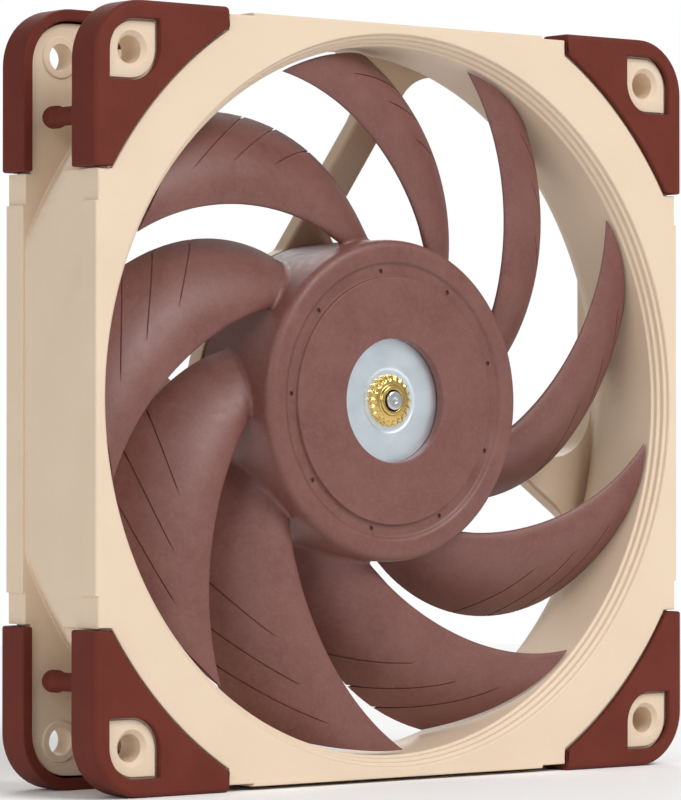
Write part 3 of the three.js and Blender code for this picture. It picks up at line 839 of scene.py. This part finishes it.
# ---- materials ---------------------------------------------------------------------
class Finish:
    """A principled material whose colour, roughness and bump come from its nodes."""

    def __init__(self, name, roughness, metallic=0.0, specular=0.5):
        self.material = bpy.data.materials.new(name)
        self.material.use_nodes = True
        self.tree = self.material.node_tree
        self.shader = self.tree.nodes["Principled BSDF"]
        self.shader.inputs["Roughness"].default_value = roughness
        self.shader.inputs["Metallic"].default_value = metallic
        self.shader.inputs["Specular IOR Level"].default_value = specular
        self.place = self.node("ShaderNodeTexCoord").outputs["Object"]

    def node(self, kind, **inputs):
        node = self.tree.nodes.new(kind)
        for key, value in inputs.items():
            self.feed(node.inputs[key], value)
        return node

    def feed(self, socket, value):
        if isinstance(value, bpy.types.NodeSocket):
            self.tree.links.new(value, socket)
        else:
            socket.default_value = value

    def noise(self, size, detail=3.0, stretch=(1, 1, 1)):
        """Noise from 0 to 1 with features about this many millimetres wide."""
        scaled = self.node("ShaderNodeVectorMath")
        scaled.operation = "MULTIPLY"
        self.feed(scaled.inputs[0], self.place)
        self.feed(scaled.inputs[1], [1000.0 / size / s for s in stretch])
        noise = self.node("ShaderNodeTexNoise", Vector=scaled.outputs[0], Scale=1.0, Detail=detail,
                          Roughness=0.55)
        return noise.outputs["Fac"]

    def math(self, operation, a, b=0.0):
        node = self.node("ShaderNodeMath")
        node.operation = operation
        self.feed(node.inputs[0], a)
        self.feed(node.inputs[1], b)
        return node.outputs[0]

    def span(self, value, low, high, out_low=0.0, out_high=1.0):
        node = self.node("ShaderNodeMapRange")
        for key, number in zip(("Value", "From Min", "From Max", "To Min", "To Max"),
                               (value, low, high, out_low, out_high)):
            self.feed(node.inputs[key], number)
        return node.outputs[0]

    def mix(self, share, one, two):
        node = self.node("ShaderNodeMix")
        node.data_type = "RGBA"
        self.feed(node.inputs["Factor"], share)
        for key, value in (("A", one), ("B", two)):
            socket = next(s for s in node.inputs if s.name == key and s.type == "RGBA")
            self.feed(socket, value if isinstance(value, bpy.types.NodeSocket) else (*value, 1.0))
        return next(s for s in node.outputs if s.type == "RGBA")

    def radius(self):
        """Distance from the fan's axis, in metres."""
        flat = self.node("ShaderNodeVectorMath")
        flat.operation = "MULTIPLY"
        self.feed(flat.inputs[0], self.place)
        self.feed(flat.inputs[1], (1.0, 0.0, 1.0))
        length = self.node("ShaderNodeVectorMath")
        length.operation = "LENGTH"
        self.feed(length.inputs[0], flat.outputs[0])
        return length.outputs["Value"]

    def bump(self, height, distance, strength=1.0):
        """Bump whose full height is this many millimetres."""
        node = self.node("ShaderNodeBump", Height=height, Distance=distance * MM, Strength=strength)
        self.feed(self.shader.inputs["Normal"], node.outputs[0])

    def colour(self, value):
        self.feed(self.shader.inputs["Base Color"], value)

    def rough(self, value):
        self.feed(self.shader.inputs["Roughness"], value)


def frame_plastic():
    """Satin beige moulding with a fine spark-eroded grain."""
    f = Finish("frame_plastic", 0.5, specular=0.35)
    cloud = f.noise(14, 3)
    grain = f.noise(0.35, 4)
    base = f.mix(f.span(cloud, 0.3, 0.7), (0.745, 0.592, 0.440), (0.775, 0.622, 0.468))
    f.colour(f.mix(f.span(grain, 0.35, 0.7, 0.0, 0.3), base, (0.71, 0.55, 0.40)))
    f.rough(f.span(grain, 0.2, 0.8, 0.42, 0.60))
    f.bump(grain, 0.012)
    return f.material


def pad_rubber():
    """Matt brown silicone with a dusty bloom."""
    f = Finish("pad_rubber", 0.7, specular=0.22)
    cloud = f.noise(7, 4)
    grain = f.noise(0.22, 3)
    base = f.mix(f.span(cloud, 0.3, 0.7), (0.118, 0.020, 0.011), (0.142, 0.026, 0.015))
    f.colour(f.mix(f.span(grain, 0.45, 0.75, 0.0, 0.4), base, (0.175, 0.040, 0.026)))
    f.rough(f.span(grain, 0.2, 0.8, 0.6, 0.82))
    f.bump(grain, 0.015)
    return f.material


def impeller_plastic():
    """Mauve-brown glass-filled plastic: soft flow marks under a fine fibrous mottle."""
    f = Finish("impeller_plastic", 0.5, specular=0.6)
    cloud = f.noise(9, 3)
    mottle = f.noise(1.5, 5)
    fibres = f.noise(0.5, 5, (1.0, 2.2, 1.0))
    base = f.mix(f.span(cloud, 0.35, 0.65), (0.150, 0.046, 0.036), (0.182, 0.066, 0.054))
    base = f.mix(f.span(mottle, 0.35, 0.65, 0.0, 0.35), base, (0.205, 0.086, 0.074))
    f.colour(f.mix(f.span(fibres, 0.45, 0.75, 0.0, 0.22), base, (0.27, 0.135, 0.118)))
    f.rough(f.span(mottle, 0.3, 0.7, 0.45, 0.56))
    f.bump(f.math("ADD", f.math("MULTIPLY", mottle, 0.5), fibres), 0.014)
    return f.material


def turned_metal(name, dark, light, pitch, roughness):
    """Metal with fine rings left by turning, and a little handling haze."""
    f = Finish(name, roughness, metallic=1.0)
    rings = f.math("SINE", f.math("MULTIPLY", f.radius(), 2000 * math.pi / pitch))
    haze = f.noise(3.5, 3)
    worn = f.math("ADD", f.math("MULTIPLY", rings, 0.12), haze)
    f.colour(f.mix(f.span(worn, 0.2, 0.8), dark, light))
    f.rough(f.span(haze, 0.3, 0.7, roughness - 0.03, roughness + 0.05))
    f.bump(rings, 0.0004)
    return f.material


def speckled(name, dark, light, size, roughness, metallic=0.0):
    """A plain part's finish: two close tones in a fine grain."""
    f = Finish(name, roughness, metallic=metallic)
    grain = f.noise(size, 4)
    f.colour(f.mix(f.span(grain, 0.3, 0.7), dark, light))
    f.rough(f.span(grain, 0.2, 0.8, roughness - 0.07, roughness + 0.07))
    f.bump(grain, 0.01)
    return f.material


def winding():
    """Enamelled wire: fine parallel turns."""
    f = Finish("copper_wire", 0.35, metallic=1.0)
    turns = f.math("SINE", f.math("MULTIPLY", f.node("ShaderNodeSeparateXYZ", Vector=f.place).outputs["Y"],
                                  2000 * math.pi / 0.3))
    f.colour(f.mix(f.span(turns, -1.0, 1.0), (0.42, 0.16, 0.06), (0.78, 0.38, 0.18)))
    f.rough(f.span(turns, -1.0, 1.0, 0.45, 0.28))
    f.bump(turns, 0.05)
    return f.material


def label_foil():
    """Blank foil label with a plain printed ring."""
    f = Finish("label_foil", 0.38, metallic=0.15)
    ring = f.math("MULTIPLY", f.span(f.radius(), 0.0164, 0.0165), f.span(f.radius(), 0.0172, 0.0171))
    fine = f.noise(0.5, 3)
    base = f.mix(f.span(fine, 0.3, 0.7), (0.56, 0.44, 0.32), (0.64, 0.52, 0.39))
    f.colour(f.mix(ring, base, (0.16, 0.05, 0.035)))
    f.rough(f.span(fine, 0.3, 0.7, 0.32, 0.46))
    f.bump(fine, 0.006)
    return f.material


def stage_white():
    f = Finish("stage_white", 0.9, specular=0.1)
    f.colour(f.mix(f.span(f.noise(300, 2), 0.3, 0.7), (0.93, 0.93, 0.93), (0.945, 0.945, 0.945)))
    return f.material


# ---- stage, lights and camera ------------------------------------------------------
def floor():
    """Plain pale floor, a wide disc under the fan."""
    segments = 96
    rim = FLOOR_RADIUS
    ring = [2 * math.pi * i / segments for i in range(segments)]
    points = [(rim * math.cos(a), rim * math.sin(a), -PAD_HALF) for a in ring]
    piece = mesh_object("floor", points, [list(range(segments))], 60)
    piece.data.materials.append(stage_white())


def softbox(name, place, size, watts):
    light = bpy.data.lights.new(name, "AREA")
    light.shape = "RECTANGLE"
    light.size, light.size_y = size
    light.energy = watts
    lamp = bpy.data.objects.new(name, light)
    lamp.location = place
    lamp.rotation_euler = (-Vector(place)).to_track_quat("-Z", "Y").to_euler()
    bpy.context.collection.objects.link(lamp)


def lights():
    """A white backdrop for the eye, dimmer as a light, and three softboxes."""
    world = bpy.data.worlds.new("studio")
    world.use_nodes = True
    tree = world.node_tree
    backdrop = tree.nodes["Background"]
    backdrop.inputs["Color"].default_value = (1.0, 1.0, 1.0, 1.0)
    seen = tree.nodes.new("ShaderNodeMapRange")
    tree.links.new(tree.nodes.new("ShaderNodeLightPath").outputs["Is Camera Ray"], seen.inputs["Value"])
    seen.inputs["To Min"].default_value = AMBIENT
    seen.inputs["To Max"].default_value = 1.0
    tree.links.new(seen.outputs[0], backdrop.inputs["Strength"])
    bpy.context.scene.world = world
    softbox("key", (0.25, -1.1, 1.0), (0.7, 0.7), 14.2)
    softbox("fill", (-1.2, -0.5, 0.5), (0.7, 0.7), 4.2)
    softbox("back", (0.7, 1.1, 0.9), (0.8, 0.8), 7.5)


def camera():
    """At the photograph's angle, just below level and to the left of the intake."""
    azimuth, elevation = math.radians(-38.9), math.radians(-0.58)
    back = Vector((math.sin(azimuth) * math.cos(elevation), -math.cos(azimuth) * math.cos(elevation),
                   math.sin(elevation)))
    target = Vector((-0.0030, 0.0, 0.00016))
    data = bpy.data.cameras.new("camera")
    data.sensor_width = 36.0
    data.lens = 191.16
    data.clip_start = 0.01
    cam = bpy.data.objects.new("camera", data)
    cam.location = target + back * 0.6776
    cam.rotation_euler = back.to_track_quat("Z", "Y").to_euler()
    bpy.context.collection.objects.link(cam)
    bpy.context.scene.camera = cam


# ---- assembly ----------------------------------------------------------------------
def dress(piece, body, slot, material, *nodes):
    """Gives a piece its finish and body, and hides the CAD nodes that it stands for."""
    piece.data.materials.clear()
    piece.data.materials.append(material)
    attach(piece, body)
    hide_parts(*nodes)


def dress_inner_nodes():
    """The motor's inner parts keep their CAD shapes and only get finishes."""
    white = speckled("white_plastic", (0.74, 0.71, 0.64), (0.82, 0.79, 0.72), 0.6, 0.5)
    black = speckled("chip_black", (0.012, 0.012, 0.014), (0.03, 0.03, 0.033), 0.3, 0.5)
    copper = winding()
    finishes = {
        "bearing_tube": turned_metal("tube_brass", (0.60, 0.42, 0.16), (0.80, 0.60, 0.26), 0.3, 0.3),
        "sleeve_bearing": speckled("sintered_bronze", (0.30, 0.21, 0.11), (0.52, 0.38, 0.22),
                                   0.2, 0.5, 1.0),
        "thrust_disc": white,
        "retaining_washer": white,
        "stator_core": turned_metal("stator_steel", (0.34, 0.35, 0.37), (0.50, 0.51, 0.53), 0.5, 0.4),
        "front_insulator": white,
        "rear_insulator": white,
        "circuit_board": speckled("circuit_board", (0.015, 0.10, 0.035), (0.03, 0.16, 0.06), 0.8, 0.4),
        "driver_chip": black,
        "hall_sensor": black,
        "capacitor": white,
        "magnet_ring": speckled("magnet", (0.03, 0.03, 0.033), (0.065, 0.065, 0.07), 0.3, 0.6),
    }
    for k in range(1, 5):
        finishes[f"coil_{k}"] = copper
    for name, material in finishes.items():
        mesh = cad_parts[name].data
        mesh.materials.clear()
        mesh.materials.append(material)


camera()
lights()
floor()
bpy.context.scene.view_settings.view_transform = "Standard"

dress(moulded_frame(), "frame", "frame_plastic", frame_plastic(), "frame_moulding")
rubber = pad_rubber()
for pad, node in corner_pads():
    dress(pad, "frame", "pad_rubber", rubber, node)
dress(motor_label(), "frame", "label_foil", label_foil(), "rear_label")
dress(impeller(), "rotor", "impeller_plastic", impeller_plastic(), "impeller")
dress(steel_cup(), "rotor", "yoke_steel",
      turned_metal("yoke_steel", (0.76, 0.85, 0.92), (0.83, 0.91, 0.96), 0.45, 0.38), "rotor_yoke")
dress(brass_boss(), "rotor", "brass",
      turned_metal("boss_brass", (0.62, 0.42, 0.12), (0.80, 0.59, 0.22), 0.25, 0.25), "shaft_boss")
dress(motor_shaft(), "rotor", "shaft_steel",
      turned_metal("shaft_steel", (0.62, 0.64, 0.66), (0.76, 0.78, 0.80), 0.15, 0.25), "shaft")
dress_inner_nodes()
